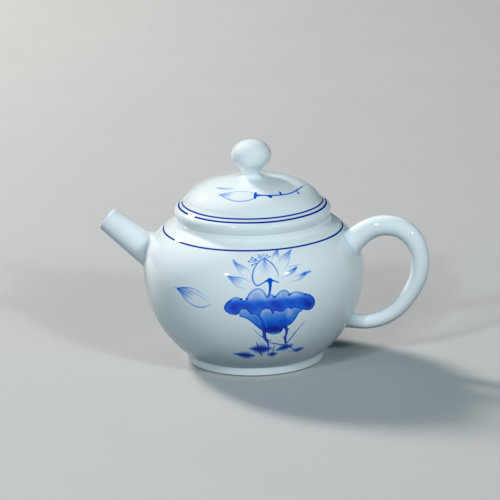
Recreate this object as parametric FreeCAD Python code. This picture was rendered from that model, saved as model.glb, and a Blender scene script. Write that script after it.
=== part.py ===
import FreeCAD, Part
import math
import os

from FreeCAD import Vector

# A small round-bellied porcelain teapot for brewing in small cups: a pot, built up from
# separately formed clay pieces luted together, and a lid that lifts out of its mouth.
# Millimetres, +Z up. It stands on z = 0 with its turning axis on Z, its spout towards -X
# and its handle towards +X.

# Pot shell: half an ellipse below the widest circle, a squarer curve above it
belly_radius = 44.0
belly_height = 36.3          # the widest circle above the table
belly_drop = 42.2            # half height of the ellipse below the widest circle
shoulder_rise = 27.4         # half height of the curve above the widest circle
shoulder_power = 2.3         # 2 is an ellipse, more is squarer
wall = 2.8
collar_base = 54.9           # where the shell stops and the mouth collar begins

# Foot ring, with its bare rest face on z = 0
foot_height = 3.9
foot_top_radius = 28.0
foot_middle_radius = 27.75
foot_heel_radius = 27.65
foot_heel_height = 0.6       # where the heel begins to round under
foot_heel_draw = 0.15        # how far it has drawn in, two thirds of the way down
foot_rest_outer = 26.9
foot_rest_inner = 24.2
foot_inner_radius = 23.2

# Mouth collar and lid seat
mouth_radius = 24.5
collar_top = 58.8
collar_lip_radius = 30.2
collar_rounding = 0.4
# Shares of the way in and of the way up: nearly level first, then steep
collar_sweep = [(0, 0), (0.17, 0.11), (0.37, 0.21), (0.58, 0.285), (0.75, 0.37), (0.875, 0.51), (0.955, 0.7)]
lid_gap = 0.3                # between the lid's seat and the collar

# Spout: a straight tapered tube, cut square at its mouth
spout_angle = 37.6           # above level
spout_mouth_x = -60.1
spout_mouth_z = 55.6
spout_mouth_radius = 5.05
spout_taper = 3.3            # half angle in degrees
spout_lip = 0.8              # rounding of the mouth's outer edge
spout_bore_radius = 3.7      # at the mouth
spout_flare_start = 14.0     # along the axis from the mouth
spout_flare_radius = 9.4     # at the buried end of the flare
spout_flare_bulge = 0.25     # share of the flare that is reached half way along it
spout_length = 28.0          # from the mouth to the buried end

# Strainer: a pierced bulb on the inside of the wall, behind the spout
strainer_radius = 7.9
strainer_wall = 1.4
strainer_hole = 1.8
strainer_setback = 3.4       # the bulb's centre, from the spout's buried end
strainer_rings = [(0.0, 1), (27.0, 6), (54.0, 11)]    # angle from the spout's axis, holes

# Handle: centre line and thickness from the buried top root to the buried lower root
handle_line = [
    (35.9, 46.0, 12.6),
    (39.6, 49.0, 10.4),
    (43.6, 52.3, 8.95),
    (48.9, 55.45, 8.3),
    (55.0, 56.45, 8.1),
    (61.3, 54.6, 8.0),
    (65.6, 49.9, 7.75),
    (67.5, 42.4, 7.3),
    (66.3, 34.7, 6.9),
    (62.4, 27.3, 6.55),
    (57.1, 21.2, 6.25),
    (50.8, 17.5, 5.9),
    (44.4, 16.15, 5.65),
    (39.8, 16.4, 5.9),
    (35.8, 17.2, 7.4),
]

# Lid: dome, rolled rim, and the flange that keeps it in the mouth
dome_radius = 28.3
dome_base = 61.5
dome_rise = 13.7
dome_power = 2.15
dome_edge = 64.45            # where the dome meets the groove above the rim
rim_centre_radius = 27.85
rim_centre_height = 61.44
rim_width = 3.35             # half width of the rim's oval section
rim_height = 2.68            # half height of it
rim_groove_angle = 78.0      # where the oval stops at the groove, in degrees above level
lid_hollow_radius = 21.8
lid_hollow_base = 61.3
lid_hollow_rise = 10.9
lid_hollow_edge = 2.6        # upright part of the hollow above the seat
flange_outer = 24.0
flange_inner = 21.4
flange_depth = 5.4
flange_lead = 0.5            # bevel on the flange's lower edges
vent_diameter = 2.4
vent_offset = 11.5           # behind the knob

# Knob: a flattened ball on a short flared stem
knob_radius = 7.98
knob_centre = 83.72
knob_upper = 6.18            # half height of the ball above its centre
knob_lower = 6.41            # half height of the ball below its centre
knob_low_angle = 42.9        # how far under the ball the stem begins, in degrees
stem_radius = 3.6
stem_height = 76.0           # the narrowest circle
stem_curve = [(1.4, 2.24), (0.75, 1.51), (0.3, 0.74), (0.0, 0.0), (0.75, -0.62)]    # out and up from it
stem_foot_radius = 7.0       # where the flare runs out on the dome
stem_foot_height = 74.8


def curve(points):
    """A smooth edge through (radius, height) points in the XZ plane."""
    spline = Part.BSplineCurve()
    spline.interpolate([Vector(r, 0, z) for r, z in points])
    return spline.toShape()


def line(a, b):
    """A straight edge between two (radius, height) points."""
    return Part.makeLine(Vector(a[0], 0, a[1]), Vector(b[0], 0, b[1]))


def turned(edges):
    """The solid made by turning a closed outline of edges about Z."""
    face = Part.Face(Part.Wire(Part.__sortEdges__(edges)))
    return face.revolve(Vector(0, 0, 0), Vector(0, 0, 1), 360)


def oval_point(radius, rise, power, share):
    """A point of a squared oval: share runs 0 to 1 from its widest circle to its pole."""
    angle = min(share, 1) * math.pi / 2
    r = radius * math.cos(angle) ** (2 / power)
    z = rise * math.sin(angle) ** (2 / power)
    return (r, z)


def belly_radius_at(z, inset):
    """Radius of the pot's outside at a height, or of its inside with inset as the wall."""
    if z < belly_height:
        rise, power = belly_drop - inset, 2.0
    else:
        rise, power = shoulder_rise - inset, shoulder_power
    share = abs(z - belly_height) / rise
    return (belly_radius - inset) * (1 - share ** power) ** (1 / power)


def belly_outline(bottom, top, inset):
    """Points up the pot's wall between two heights, closer together near the top."""
    steps = 12
    heights = [bottom + (top - bottom) * math.sin(math.pi / 2 * i / steps) for i in range(steps + 1)]
    return [(belly_radius_at(z, inset), z) for z in heights]


def belly_solid(bottom, inset):
    """The full turned form inside one surface of the wall, from a floor to the collar."""
    wall_points = belly_outline(bottom, collar_base, inset)
    low_edge, top_edge = wall_points[0], wall_points[-1]
    edges = [
        line((0, bottom), low_edge),
        curve(wall_points),
        line(top_edge, (0, collar_base)),
        line((0, collar_base), (0, bottom)),
    ]
    return turned(edges)


def spout_direction():
    """Unit vector along the spout, from its root out to its mouth."""
    angle = math.radians(spout_angle)
    return Vector(-math.cos(angle), 0, math.sin(angle))


def along_spout(distance):
    """The point on the spout's axis that lies a distance inwards from its mouth."""
    return Vector(spout_mouth_x, 0, spout_mouth_z) - spout_direction() * distance


def spout_turned(edges):
    """Turn an outline drawn about Z, with the mouth at z = 0, and lay it along the spout."""
    solid = turned(edges)
    solid.Placement = FreeCAD.Placement(
        along_spout(0), FreeCAD.Rotation(Vector(0, 0, 1), spout_direction())
    )
    return solid


def spout_bore():
    """The tapered channel from the mouth, through the wall and into the strainer."""
    widening = math.tan(math.radians(spout_taper))
    end_radius = spout_bore_radius + spout_length * widening
    edges = [
        line((0, 1), (spout_bore_radius - widening, 1)),
        line((spout_bore_radius - widening, 1), (end_radius, -spout_length)),
        line((end_radius, -spout_length), (0, -spout_length)),
        line((0, -spout_length), (0, 1)),
    ]
    return spout_turned(edges)


def make_pot_body(outside, inside):
    """The thrown shell, with the window that the spout pours from."""
    return outside.cut(inside).cut(spout_bore())


def make_foot_ring():
    """The low ring under the shell, hollow to the floor and bare where it stands."""
    top = (foot_top_radius, foot_height)
    heel = (foot_heel_radius, foot_heel_height)
    outer_rest = (foot_rest_outer, 0)
    inner_rest = (foot_rest_inner, 0)
    inner_top = (foot_inner_radius, foot_height)
    edges = [
        curve([top, (foot_middle_radius, foot_height / 2), heel]),
        curve([heel, (foot_heel_radius - foot_heel_draw, foot_heel_height / 3), outer_rest]),
        line(outer_rest, inner_rest),
        line(inner_rest, inner_top),
        line(inner_top, top),
    ]
    return turned(edges)


def make_neck_collar():
    """The mouth ring: its outside sweeps up from the shoulder to the land that carries the lid."""
    base_radius = belly_radius_at(collar_base, 0)
    bend = collar_rounding
    rise = collar_top - collar_base
    drop = base_radius - collar_lip_radius
    sweep = [(base_radius - inward * drop, collar_base + upward * rise) for inward, upward in collar_sweep]
    sweep.append((collar_lip_radius, collar_top - bend))
    edges = [
        line((mouth_radius, collar_base), (base_radius, collar_base)),
        curve(sweep),
        line((collar_lip_radius, collar_top - bend), (collar_lip_radius - bend, collar_top)),
        line((collar_lip_radius - bend, collar_top), (mouth_radius + bend, collar_top)),
        line((mouth_radius + bend, collar_top), (mouth_radius, collar_top - bend)),
        line((mouth_radius, collar_top - bend), (mouth_radius, collar_base)),
    ]
    return turned(edges)


def make_spout(outside):
    """A tapered tube with a rounded lip, flared at its root and fitted to the shell."""
    widening = math.tan(math.radians(spout_taper))
    corner = spout_lip * (1 - math.sqrt(0.5))
    inner_lip = (spout_mouth_radius - spout_lip, 0)
    outer_lip = (spout_mouth_radius + spout_lip * widening, -spout_lip)
    start_radius = spout_mouth_radius + spout_flare_start * widening
    middle = 0.5 * (spout_flare_start + spout_length)
    bulge_radius = start_radius + spout_flare_bulge * (spout_flare_radius - start_radius)
    flare_start = (start_radius, -spout_flare_start)
    flare_end = (spout_flare_radius, -spout_length)
    edges = [
        line((0, 0), inner_lip),
        curve([inner_lip, (spout_mouth_radius - corner, -corner), outer_lip]),
        line(outer_lip, flare_start),
        curve([flare_start, (bulge_radius, -middle), flare_end]),
        line(flare_end, (0, -spout_length)),
        line((0, -spout_length), (0, 0)),
    ]
    return spout_turned(edges).cut(outside).cut(spout_bore())


def strainer_holes(centre):
    """Radial pins that pierce the strainer bulb in rings about the spout's axis."""
    inward = spout_direction() * -1
    side = Vector(0, 1, 0)
    up = inward.cross(side)
    pins = []
    for tilt, count in strainer_rings:
        for i in range(count):
            turn = 2 * math.pi * i / count
            lean = math.radians(tilt)
            out = side * math.cos(turn) + up * math.sin(turn)
            way = inward * math.cos(lean) + out * math.sin(lean)
            pins.append(Part.makeCylinder(strainer_hole / 2, 2 * strainer_radius, centre, way))
    return pins


def make_strainer_dome(inside):
    """The pierced bulb that keeps leaves out of the spout, luted to the inside of the wall."""
    seat = along_spout(spout_length - strainer_setback)
    bulb = Part.makeSphere(strainer_radius, seat)
    hollow = Part.makeSphere(strainer_radius - strainer_wall, seat)
    bulb = bulb.cut(hollow).common(inside)
    return bulb.cut(strainer_holes(seat))


def make_handle(outside):
    """The ear-shaped pulled handle: round sections along its line, fitted to the shell."""
    path = Part.BSplineCurve()
    path.interpolate([Vector(x, thickness, z) for x, z, thickness in handle_line])
    steps = 2 * (len(handle_line) - 1)
    rings = []
    for i in range(steps + 1):
        at = path.FirstParameter + (path.LastParameter - path.FirstParameter) * i / steps
        place, tangent = path.value(at), path.tangent(at)[0]
        heading = Vector(tangent.x, 0, tangent.z).normalize()
        ring = Part.Circle(Vector(place.x, 0, place.z), heading, place.y / 2)
        rings.append(Part.Wire(ring.toShape()))
    return Part.makeLoft(rings, True, False).cut(outside)


def dome_outline(edge_height, radius, rise, base):
    """Points over the lid's dome, from the groove above the rim up to the axis."""
    first = math.asin(((edge_height - base) / rise) ** (dome_power / 2)) / (math.pi / 2)
    steps = 9
    shares = [first + (1 - first) * i / steps for i in range(steps + 1)]
    points = [oval_point(radius, rise, dome_power, share) for share in shares]
    return [(r, base + z) for r, z in points]


def lid_seat():
    """Height of the lid's flat underside."""
    return collar_top + lid_gap


def rim_point(angle):
    """A point of the rim's oval section at an angle from its outermost circle."""
    r = rim_centre_radius + rim_width * math.cos(math.radians(angle))
    z = rim_centre_height + rim_height * math.sin(math.radians(angle))
    return (r, z)


def dome_solid():
    """The lid's full outer form, closed straight across its seat."""
    dome = dome_outline(dome_edge, dome_radius, dome_rise, dome_base)
    seat_angle = -math.degrees(math.asin((rim_centre_height - lid_seat()) / rim_height))
    steps = 8
    turn = (rim_groove_angle - seat_angle) / steps
    rim = [rim_point(seat_angle + turn * i) for i in range(steps + 1)]
    edges = [
        line((0, lid_seat()), rim[0]),
        curve(rim),
        line(rim[-1], dome[0]),
        curve(dome),
        line(dome[-1], (0, lid_seat())),
    ]
    return turned(edges)


def make_lid_dome(cover):
    """The lid's cover: hollow under the dome, with a steam vent behind the knob."""
    hollow_edge = lid_seat() + lid_hollow_edge
    hollow = dome_outline(hollow_edge, lid_hollow_radius, lid_hollow_rise, lid_hollow_base)
    edges = [
        line((0, lid_seat()), (flange_inner, lid_seat())),
        line((flange_inner, lid_seat()), hollow[0]),
        curve(hollow),
        line(hollow[-1], (0, lid_seat())),
    ]
    vent = Part.makeCylinder(vent_diameter / 2, dome_base, Vector(0, vent_offset, lid_seat()))
    return cover.cut(turned(edges)).cut(vent)


def make_lid_flange():
    """The ring under the lid that drops into the mouth and stops it sliding off."""
    lead = flange_lead
    bottom = lid_seat() - flange_depth
    edges = [
        line((flange_inner, lid_seat()), (flange_outer, lid_seat())),
        line((flange_outer, lid_seat()), (flange_outer, bottom + lead)),
        line((flange_outer, bottom + lead), (flange_outer - lead, bottom)),
        line((flange_outer - lead, bottom), (flange_inner + lead, bottom)),
        line((flange_inner + lead, bottom), (flange_inner, bottom + lead)),
        line((flange_inner, bottom + lead), (flange_inner, lid_seat())),
    ]
    return turned(edges)


def knob_point(angle):
    """A point of the knob's flattened ball, at an angle in degrees above its widest circle."""
    half_height = knob_upper if angle > 0 else knob_lower
    lean = math.radians(angle)
    return (knob_radius * math.cos(lean), knob_centre + half_height * math.sin(lean))


def make_lid_knob(cover):
    """The turned knob, its stem fitted to the top of the dome."""
    upper_steps = 8
    lower_steps = 4
    ball = [(0, knob_centre + knob_upper)]
    ball += [knob_point(90 - 90 * i / upper_steps) for i in range(1, upper_steps + 1)]
    ball += [knob_point(-knob_low_angle * i / lower_steps) for i in range(1, lower_steps + 1)]
    stem = [(stem_radius + out, stem_height + up) for out, up in stem_curve]
    stem.append((stem_foot_radius, stem_foot_height))
    edges = [
        curve(ball + stem),
        line(stem[-1], (0, stem_foot_height)),
        line((0, stem_foot_height), ball[0]),
    ]
    return turned(edges).cut(cover)


def main():
    os.makedirs("parts", exist_ok=True)
    outside = belly_solid(foot_height, 0)
    inside = belly_solid(foot_height + wall, wall)
    cover = dome_solid()
    pieces = {
        "pot_body": make_pot_body(outside, inside),
        "foot_ring": make_foot_ring(),
        "neck_collar": make_neck_collar(),
        "spout": make_spout(outside),
        "strainer_dome": make_strainer_dome(inside),
        "handle": make_handle(outside),
        "lid_dome": make_lid_dome(cover),
        "lid_flange": make_lid_flange(),
        "lid_knob": make_lid_knob(cover),
    }
    for name, shape in pieces.items():
        print(name, shape.isValid(), len(shape.Solids), round(shape.Volume))
        shape.exportStep(os.path.join("parts", name + ".step"))
    print("room inside to the collar, ml:", round(inside.Volume / 1000))


main()
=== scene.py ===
import math

import bmesh
import bpy
import numpy as np
from mathutils import Matrix, Vector


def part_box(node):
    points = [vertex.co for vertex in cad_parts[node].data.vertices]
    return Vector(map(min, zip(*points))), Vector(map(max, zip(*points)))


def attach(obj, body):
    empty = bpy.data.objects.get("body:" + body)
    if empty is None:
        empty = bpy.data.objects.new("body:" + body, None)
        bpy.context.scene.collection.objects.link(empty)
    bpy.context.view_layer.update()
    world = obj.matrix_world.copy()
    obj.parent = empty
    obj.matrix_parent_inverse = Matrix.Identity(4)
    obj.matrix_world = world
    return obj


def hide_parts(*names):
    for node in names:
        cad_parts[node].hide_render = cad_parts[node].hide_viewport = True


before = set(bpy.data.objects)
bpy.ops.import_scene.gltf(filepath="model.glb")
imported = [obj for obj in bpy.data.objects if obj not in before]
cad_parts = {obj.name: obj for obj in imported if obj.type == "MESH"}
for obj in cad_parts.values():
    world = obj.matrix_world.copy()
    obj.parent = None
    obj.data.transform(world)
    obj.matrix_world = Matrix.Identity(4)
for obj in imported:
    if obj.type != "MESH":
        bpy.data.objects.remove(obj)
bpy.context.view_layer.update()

# Pot body
# The thrown shell of belly and shoulder: hard white porcelain, painted in cobalt and then dipped
# in a pale bluish clear glaze. A round window in its wall, behind the spout, lets the tea out.
# Sizes are in millimetres, heights from the table, turns from the front towards the handle.

mm = 0.001
pot_low, pot_high = np.array(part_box("pot_body")) / mm
belly_radius = pot_high[1]
shell_base, shell_top = pot_low[2], pot_high[2]
belly_height = 36.3
belly_drop = 42.2
shoulder_rise = 27.4
shoulder_power = 2.3
wall = 2.8
floor_corner = 2.5
foot_bore = 23.2
painted_from, painted_to = -37, 48
painted_step, plain_step = 0.34, 3.0
brush_step = 0.27
paint_depth = 0.2
weld_gap = 0.001
crease = math.radians(40)


def belly(height, inset=0.0):
    """Radius of the pot at a height: a quarter ellipse below its widest circle, a squarer curve
    above it. The inside is the same curve with the wall taken off the radius and both heights."""
    below = height < belly_height
    rise = np.where(below, belly_drop, shoulder_rise) - inset
    power = np.where(below, 2.0, shoulder_power)
    share = np.abs(height - belly_height) / rise
    return (belly_radius - inset) * np.clip(1 - share ** power, 0, 1) ** (1 / power)


def smooth_line(points, steps=12):
    """A line through points: a cubic between each two, whose slope and bend carry on across every
    point, with no bend at the ends (a natural spline over the chords)."""
    points = np.asarray(points, float)
    chord = np.linalg.norm(np.diff(points, axis=0), axis=1)
    count = len(points)
    inner = np.arange(1, count - 1)
    rows = np.eye(count)
    rows[inner, inner - 1] = chord[:-1]
    rows[inner, inner] = 2 * (chord[:-1] + chord[1:])
    rows[inner, inner + 1] = chord[1:]
    known = np.zeros_like(points)
    known[1:-1] = 6 * np.diff(np.diff(points, axis=0) / chord[:, None], axis=0)
    bends = np.linalg.solve(rows, known)
    right = (np.arange(steps) / steps)[:, None]
    left = 1 - right
    sag = (left ** 3 - left) * bends[:-1, None] + (right ** 3 - right) * bends[1:, None]
    line = left * points[:-1, None] + right * points[1:, None] + chord[:, None, None] ** 2 / 6 * sag
    return np.vstack([line.reshape(-1, points.shape[1]), points[-1]])


def run_along(line):
    """How far along a line each of its points lies: the sum of the steps up to it."""
    return np.concatenate([[0], np.cumsum(np.linalg.norm(np.diff(line, axis=0), axis=1))])


def evenly(line, step):
    """The same line walked in equal steps of about the given length."""
    run = run_along(line)
    places = np.linspace(0, run[-1], max(2, round(run[-1] / step) + 1))
    return np.column_stack([np.interp(places, run, column) for column in line.T])


def skin(name, grid):
    """A mesh over grid[row, column], points in millimetres: each row closes on itself and rows are
    joined by four-sided faces. Points that fall together are made one, so an axis or a closed
    outline leaves no seam, and the faces are turned outwards."""
    rows, columns = grid.shape[:2]
    index = np.arange(rows * columns).reshape(rows, columns)
    beside = np.roll(index, -1, axis=1)
    faces = np.stack([index[:-1], beside[:-1], beside[1:], index[1:]], axis=-1).reshape(-1, 4)
    mesh = bpy.data.meshes.new(name)
    mesh.from_pydata((grid.reshape(-1, 3) * mm).tolist(), [], faces.tolist())
    shell = bmesh.new()
    shell.from_mesh(mesh)
    bmesh.ops.remove_doubles(shell, verts=shell.verts, dist=weld_gap * mm)
    bmesh.ops.recalc_face_normals(shell, faces=shell.faces)
    shell.to_mesh(mesh)
    shell.free()
    mesh.shade_smooth()
    mesh.set_sharp_from_angle(angle=crease)
    piece = bpy.data.objects.new(name, mesh)
    bpy.context.collection.objects.link(piece)
    return piece


def turned(name, outline, turns, back=0.0):
    """The surface of an outline of (radius, height) turned about an upright axis: a point stands at
    radius times sine of the turn towards the handle, and radius times cosine to the front. The axis
    is the pot's own, or lies that far back from it."""
    radius, height = outline.T[:, :, None]
    places = radius * np.sin(turns), back - radius * np.cos(turns), height + 0 * turns
    return skin(name, np.stack(places, axis=-1))


def turns_round(fine_from, fine_to, fine_step):
    """Turns once round, given in degrees: fine steps over the painted side, plain steps beyond it."""
    fine = np.arange(fine_from, fine_to, fine_step)
    plain = np.arange(fine_to, fine_from + 360, plain_step)
    return np.radians(np.concatenate([fine, plain]))


def pierced(piece, pin):
    """Take the pin's form out of the piece for good, then drop the pin."""
    cut = piece.modifiers.new("cut", "BOOLEAN")
    cut.object = pin
    cut.solver = "MANIFOLD"
    whole = piece.evaluated_get(bpy.context.evaluated_depsgraph_get())
    piece.data = bpy.data.meshes.new_from_object(whole)
    piece.modifiers.clear()
    piece.data.materials.clear()
    piece.data.set_sharp_from_angle(angle=crease)
    bpy.data.objects.remove(pin)


def points_of(piece):
    """The piece's points in millimetres."""
    flat = np.empty(3 * len(piece.data.vertices))
    piece.data.vertices.foreach_get("co", flat)
    return flat.reshape(-1, 3) / mm


def reach(points):
    """Distance of points from the pot's axis."""
    return np.hypot(points[..., 0], points[..., 1])


def clearance(points):
    """How far points lie outside the pot's wall, measured level out from the axis."""
    return reach(points) - belly(points[..., 2])


def coat(piece, **layers):
    """Keep values for each point of the piece, for its material to read by name."""
    for name, values in layers.items():
        layer = piece.data.attributes.new(name, "FLOAT", "POINT")
        layer.data.foreach_set("value", np.asarray(values, np.float32))


# The spout's axis, which the window follows
spout_mouth = np.array([-60.1, 0.0, 55.6])
spout_angle = math.radians(37.6)
spout_inward = np.array([math.cos(spout_angle), 0.0, -math.sin(spout_angle)])
spout_widening = math.tan(math.radians(3.3))
spout_bore = 3.7
window_from, window_to = 14.0, 29.0


def once_round(count):
    """The angles of evenly spaced points once round a circle."""
    return np.arange(count) * 2 * math.pi / count


def spout_rings(along, radius, columns=72):
    """Circles square to the spout's axis: one for each distance inwards from its mouth."""
    angle = once_round(columns)
    side = np.array([0.0, 1.0, 0.0])
    up = np.cross(side, spout_inward)
    out = np.cos(angle)[:, None] * side + np.sin(angle)[:, None] * up
    centre = spout_mouth + along[:, None] * spout_inward
    return centre[:, None] + radius[:, None, None] * out


underside = [(0, shell_base), (12, shell_base), (foot_bore, shell_base)]
climb = np.linspace(shell_base, shell_top, 900)
outside = evenly(np.column_stack([belly(climb), climb]), brush_step)
floor_height = shell_base + wall
fall = np.linspace(shell_top, floor_height + floor_corner, 24)
inside = np.column_stack([belly(fall, wall), fall])
floor_bend = smooth_line(
    [inside[-1], (27.4, floor_height + 0.7), (23.5, floor_height), (16, floor_height)], 5,
)
shell_edge = outside[-1] - (0.02, 0.05)
pot_outline = np.vstack([underside, outside, shell_edge, inside, floor_bend[1:], [(0, floor_height)]])
pot_body = turned("pot_body_skin", pot_outline, turns_round(painted_from, painted_to, painted_step))

window_ends = np.array([window_from, window_from, window_to, window_to])
window_radii = (spout_bore + window_ends * spout_widening) * [0, 1, 1, 0]
pierced(pot_body, skin("spout_window", spout_rings(window_ends, window_radii)))


def spread_along(values, share):
    """Values spread evenly along a line, read at shares of the way along it."""
    return np.interp(share, np.linspace(0, 1, len(values)), values)


class Painting:
    """Cobalt brushed on a surface, worked out at places in millimetres across and up the unrolled
    surface: across is the turn from the painting's middle times a radius. edge is how far a place
    lies inside the nearest stroke, ink how strong that stroke is, and wash the soft tone around it."""

    def __init__(self, turns, radius, up):
        self.turns = turns
        self.places = np.column_stack([radius * (turns - painting_turn), up])
        self.edge = np.full(len(turns), -1.0)
        self.ink = np.zeros(len(turns))
        self.wash = np.zeros(len(turns))

    def near(self, line, margin):
        """Which places are close to a line, their distance to it and their share of the way along it."""
        low, high = line.min(axis=0) - margin, line.max(axis=0) + margin
        chosen = np.flatnonzero(((self.places > low) & (self.places < high)).all(axis=1))
        start, step = line[:-1], np.diff(line, axis=0)
        away = self.places[chosen, None] - start
        share = np.clip((away * step).sum(-1) / (step ** 2).sum(-1), 0, 1)
        gap = np.linalg.norm(away - share[..., None] * step, axis=-1)
        best = gap.argmin(axis=1)
        row = np.arange(len(chosen))
        return chosen, gap[row, best], (best + share[row, best]) / len(step)

    def lay(self, chosen, edge, ink):
        """Lay paint with a signed edge over what is there: it covers where it lies inside its edge."""
        old = self.edge[chosen]
        cover = np.clip(edge / brush_step + 0.5, 0, 1)
        cover = np.where((old < 0) & (edge > old), 1, cover)
        self.ink[chosen] += (ink - self.ink[chosen]) * cover
        self.edge[chosen] = np.maximum(old, edge)

    def stroke(self, points, width, ink):
        """A stroke with a clear edge; its widths and strengths are spread evenly along its line."""
        chosen, gap, along = self.near(smooth_line(points), max(width) + 1)
        self.lay(chosen, spread_along(width, along) / 2 - gap, spread_along(ink, along))

    def strokes(self, rows):
        """Strokes laid one after another: each row holds a line of points, its widths and strengths."""
        for points, width, ink in rows:
            self.stroke(points, width, ink)

    def streak(self, points, width, tone):
        """A soft stroke: its tone falls off across it as a bell."""
        chosen, gap, along = self.near(smooth_line(points), 2 * max(width))
        half = spread_along(width, along) / 2
        laid = spread_along(tone, along) * np.exp(-(gap / half) ** 2)
        self.wash[chosen] = np.maximum(self.wash[chosen], laid)

    def field(self, outline, tone):
        """A filled patch inside a closed line; tone gives its strength from the places across and up.
        The wet pigment gathers in a fine dark line at the edge and leaves a paler band within it."""
        line = smooth_line(outline + outline[:1], 6)
        chosen, gap = self.near(line, 1)[:2]
        across, up = self.places[chosen].T[:, :, None]
        start, end = line[:-1], line[1:]
        spans = (start[:, 1] > up) != (end[:, 1] > up)
        rise = np.where(end[:, 1] == start[:, 1], 1, end[:, 1] - start[:, 1])
        crossing = start[:, 0] + (up - start[:, 1]) / rise * (end[:, 0] - start[:, 0])
        within = (spans & (across < crossing)).sum(axis=1) % 2 == 1
        dark_line = 0.14 * np.exp(-(gap / 0.35) ** 2)
        pale_band = 0.1 * np.exp(-((gap - 1) / 0.6) ** 2)
        ink = tone(across[:, 0], up[:, 0]) + dark_line - pale_band
        self.lay(chosen, np.where(within, gap, -gap), ink)

    def dab(self, at, size, ink):
        """A short touch of the brush tip."""
        self.stroke([at, (at[0] + 0.05, at[1] + 0.05)], [size], [ink])

    def ring(self, height, width, ink):
        """A line drawn right round on the wheel, with the slight waver of the hand and a brush that is
        pressed harder on one side."""
        waver = 0.05 * np.sin(3 * self.turns) + 0.03 * np.sin(7 * self.turns + 1)
        half = width / 2 * (1 + 0.16 * np.cos(self.turns - 0.4))
        self.lay(np.arange(len(half)), half - np.abs(self.places[:, 1] - height - waver), ink)

    def layers(self):
        """The values the glaze material reads; a stroke's edge lies at 1."""
        return {"stroke": 1 + np.clip(self.edge, -1, 1), "ink": self.ink, "wash": self.wash}


# The painting's middle lies round from the front towards the handle. Across is measured at the
# belly's width, and up along the wall from the widest circle.
painting_turn = math.radians(20)
painting_radius = 42.0
off_surface = 1000.0
wall_run = run_along(outside)
wall_up = wall_run - np.interp(belly_height, outside[:, 1], wall_run)
pot_points = points_of(pot_body)
pot_turns = np.arctan2(pot_points[:, 0], -pot_points[:, 1])
on_outside = (clearance(pot_points) > -paint_depth) & (pot_points[:, 2] > shell_base + 0.01)
pot_up = np.where(on_outside, np.interp(pot_points[:, 2], outside[:, 1], wall_up), off_surface)
lotus = Painting(pot_turns, painting_radius, pot_up)

# Shoulder line
line_ink = 1.1
shoulder_line_height = 54.26
shoulder_line_width = 0.66
lotus.ring(np.interp(shoulder_line_height, outside[:, 1], wall_up), shoulder_line_width, line_ink)

# Bud: veins from its tip, an open outline and a dark calyx on the stem
bud_tip = (-1.4, 16.9)
for foot in [(-4.4, 11.6), (-3.2, 10), (-2.1, 9.3), (-0.9, 9.1), (0.3, 9.8), (1.5, 11.2)]:
    lotus.streak([(-1.35, 16.5), foot], [0.26, 0.28, 0.32], [0.62, 0.46, 0.34, 0])
lotus.strokes([
    ([(-1.5, 16.8), (-4.2, 15), (-5.9, 12.5), (-6.5, 9.8), (-6.1, 7.5), (-4.8, 6.1), (-3, 6.8), (-0.8, 7.8)],
     [0.4, 0.55, 0.6, 0.55, 0.5], [0.6, 0.55, 0.6, 0.62, 0.7]),
    ([(0.6, 7.9), (2, 7.5), (3.3, 6.9)], [0.8, 0.55, 0.6], [0.8, 0.65, 0.55]),
    ([bud_tip, (0.3, 15.7), (2, 13.9), (3.1, 11.8), (3.5, 9.8), (3.4, 8.5)],
     [0.5, 0.6, 0.5, 0.4], [0.6, 0.55, 0.4, 0.1]),
    ([(-1.5, 7.7), (0, 8), (1.3, 7.7)], [0.6, 1, 0.7], [0.9]),
    ([(0.1, 7.8), (0.15, 6.8), (0.1, 5.4), (-0.1, 3.8), (-0.5, 2.2), (-1.2, 0.6)],
     [2.2, 1.4, 1.05, 0.9, 0.9, 1.1], [0.86]),
])
lotus.dab(bud_tip, 0.9, 0.75)

# Stamens: fine threads above the bud, each with a dark head
for root, head, weight in [
    ((-4.6, 15), (-6.7, 14.2), 0.85),
    ((-5, 15.3), (-8.1, 15.7), 0.75),
    ((-5.2, 15.8), (-7.1, 16.5), 0.75),
    ((-4.4, 15.6), (-6.5, 17.4), 0.85),
    ((-3.6, 15.9), (-5, 16.7), 0.7),
    ((-2.8, 16.3), (-3.7, 17.4), 0.6),
    ((-2.2, 16.6), (-3.8, 18.5), 0.5),
    ((-1.6, 16.9), (-2.6, 18.1), 0.5),
    ((-1.2, 17), (-1.4, 18.5), 0.5),
    ((-0.8, 17), (0, 18.3), 0.55),
    ((-0.6, 16.9), (1.1, 17.6), 0.6),
]:
    lotus.stroke([root, head], [0.3, 0.36], [0.7 * weight])
    lotus.dab(head, 0.68, weight)


def petal(tip, upper, lower, depth):
    """A loose petal: two outlines that leave its tip and fade, fine veins spread evenly between them
    that are darkest at the tip, and a thin wash under the veins."""
    for line, fade in [(upper, [1, 0.75, 0.55, 0.2]), (lower, [1, 0.65, 0.45, 0.15])]:
        lotus.stroke([tip] + line, [0.35, 0.45, 0.4, 0.3], depth * np.array(fade))
    above, below = smooth_line([tip] + upper), smooth_line([tip] + lower)
    for share, length in [(0.12, 0.7), (0.32, 0.85), (0.52, 0.7), (0.72, 0.8), (0.9, 0.6)]:
        vein = (above + share * (below - above))[:round(length * len(above)):4]
        lotus.streak(vein, [0.36, 0.46, 0.46, 0.4], depth * np.array([1.2, 0.95, 0.55, 0]))
    middle = (0.5 * above + 0.5 * below)[:round(0.8 * len(above)):6]
    lotus.streak(middle, [0.6, 1.8, 2.4], depth * np.array([0.8, 0.5, 0]))


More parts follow.
